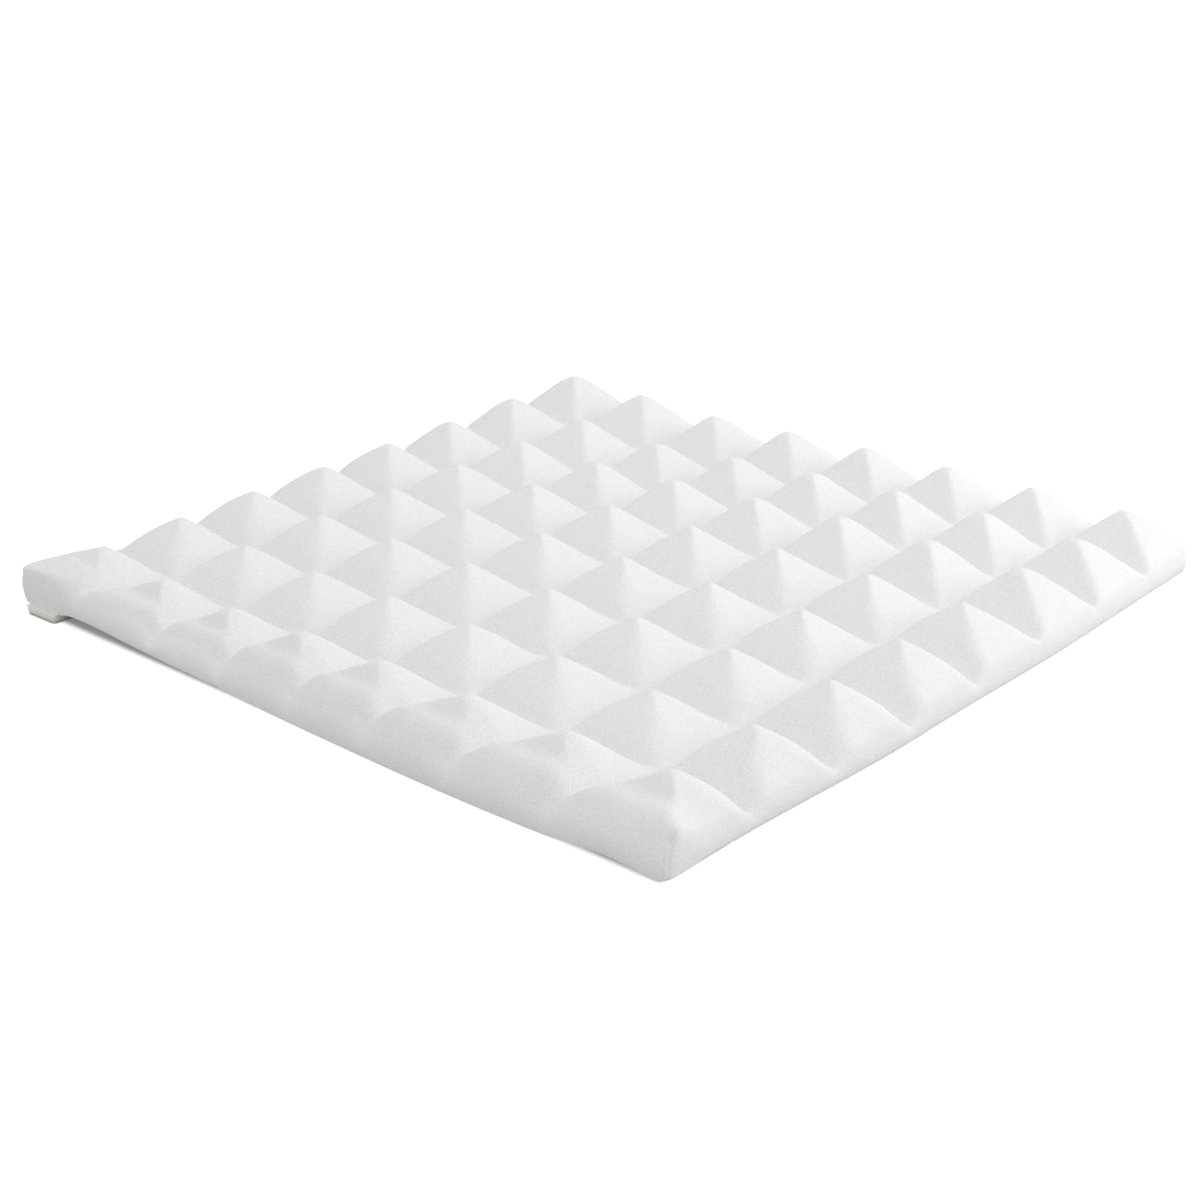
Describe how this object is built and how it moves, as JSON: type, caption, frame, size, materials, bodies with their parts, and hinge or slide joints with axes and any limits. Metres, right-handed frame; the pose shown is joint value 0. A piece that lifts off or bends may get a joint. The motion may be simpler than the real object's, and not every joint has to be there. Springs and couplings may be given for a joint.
{
  "type": "acoustic foam panel",
  "caption": "Square tile of soft white open-cell foam cut into rows of pyramids, with a double-sided mounting pad under each corner, for damping sound in a room.",
  "frame": {"origin": "bottom centre: on the surface that the panel rests on, under the middle of the tile", "axes": "+Z out of the wall through the pyramid tips, +X and +Y along the tile's sides; -Y is the side with the raised rounded rim"},
  "size_m": [0.3, 0.3, 0.0246],
  "materials": {
    "acoustic_foam": "matt open-cell foam, finely pored",
    "pad_foam": "matt closed-cell foam",
    "adhesive_film": "clear tacky acrylic film",
    "liner_paper": "smooth silicone-coated paper"
  },
  "bodies": {
    "root": {"foam_tile": "acoustic_foam", "release_liner_left_front": "liner_paper", "wall_adhesive_left_front": "adhesive_film", "pad_core_left_front": "pad_foam", "tile_adhesive_left_front": "adhesive_film", "release_liner_right_front": "liner_paper", "wall_adhesive_right_front": "adhesive_film", "pad_core_right_front": "pad_foam", "tile_adhesive_right_front": "adhesive_film", "release_liner_right_back": "liner_paper", "wall_adhesive_right_back": "adhesive_film", "pad_core_right_back": "pad_foam", "tile_adhesive_right_back": "adhesive_film", "release_liner_left_back": "liner_paper", "wall_adhesive_left_back": "adhesive_film", "pad_core_left_back": "pad_foam", "tile_adhesive_left_back": "adhesive_film"}
  },
  "joints": []
}
